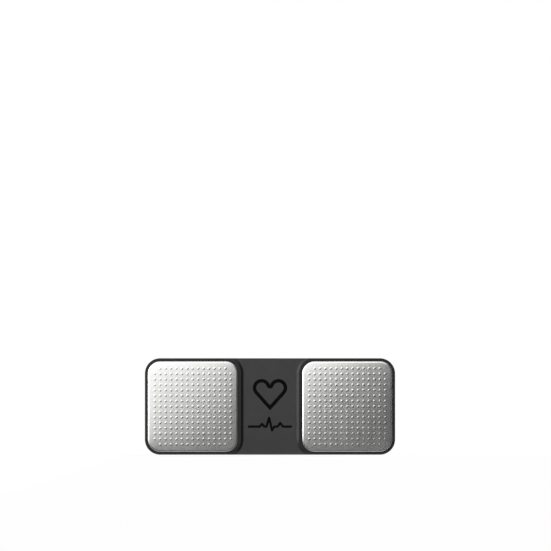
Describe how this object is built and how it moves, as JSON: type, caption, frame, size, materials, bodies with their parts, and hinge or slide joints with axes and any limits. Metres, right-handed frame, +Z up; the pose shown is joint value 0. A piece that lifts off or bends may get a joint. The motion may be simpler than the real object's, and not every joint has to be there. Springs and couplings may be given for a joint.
{
  "type": "ecg home monitor",
  "caption": "Thin pocket heart monitor with a dimpled steel electrode pad at each end, a recessed centre panel and a hinged battery door in its back.",
  "frame": {"origin": "middle of the flat lower edge, at the bottom centre of the bounding box", "axes": "+Z up across the short side of the face, +X along the long side to the right seen from the front, -Y out of the front with the electrodes, +Y out of the back with the battery door"},
  "size_m": [0.082, 0.0036, 0.0316],
  "materials": {
    "shell_plastic": "fine moulded grain, satin, with smoother and darker seats",
    "cover_plastic": "fine moulded grain, satin",
    "seam_glue": "cured bead",
    "symbol_ink": "flat black inlay",
    "electrode_steel": "bead-blasted, satin",
    "foam_tape": "foam tape",
    "contact_metal": "gold-plated spring strip",
    "board_laminate": "solder mask",
    "chip_epoxy": "moulded epoxy",
    "crystal_can": "nickel-plated",
    "ferrite": "ground ferrite",
    "capacitor_ceramic": "fired ceramic with tinned ends",
    "resistor_ceramic": "fired ceramic with tinned ends",
    "sounder_brass": "rolled brass",
    "sounder_ceramic": "silvered ceramic",
    "cell_steel": "nickel-plated",
    "gasket_plastic": "nylon",
    "cell_filling": "pressed pellet"
  },
  "bodies": {
    "casing": {"front_shell": "shell_plastic", "rear_cover": "cover_plastic", "seam_adhesive": "seam_glue", "front_symbol": "symbol_ink", "electrode_left": "electrode_steel", "electrode_right": "electrode_steel", "electrode_tape_left": "foam_tape", "electrode_tape_right": "foam_tape", "electrode_spring_left": "contact_metal", "electrode_spring_right": "contact_metal", "contact_positive": "contact_metal", "contact_negative": "contact_metal", "main_board": "board_laminate", "microcontroller": "chip_epoxy", "heart_signal_amplifier": "chip_epoxy", "clock_crystal": "crystal_can", "power_inductor": "ferrite", "chip_capacitors": "capacitor_ceramic", "chip_resistors": "resistor_ceramic", "protection_diodes": "chip_epoxy", "sounder_plate": "sounder_brass", "sounder_ceramic": "sounder_ceramic", "sounder_contacts": "contact_metal"},
    "battery_door": {"battery_door": "cover_plastic"},
    "coin_cell": {"cell_can": "cell_steel", "cell_cap": "cell_steel", "cell_gasket": "gasket_plastic", "cell_stack": "cell_filling"}
  },
  "joints": [
    {"name": "door_hinge", "type": "hinge", "parent": "casing", "child": "battery_door", "pos_m": [-0.0374, 0.00112, 0.0158], "axis": [0, 0, 1], "range_deg": [0, 95]},
    {"name": "cell_slide", "type": "slide", "parent": "casing", "child": "coin_cell", "axis": [0, 1, 0], "range_m": [0, 0.0033]}
  ],
  "couplings": [
    {"joint": "door_hinge", "follows": "cell_slide", "rad_per_m": 500}
  ]
}
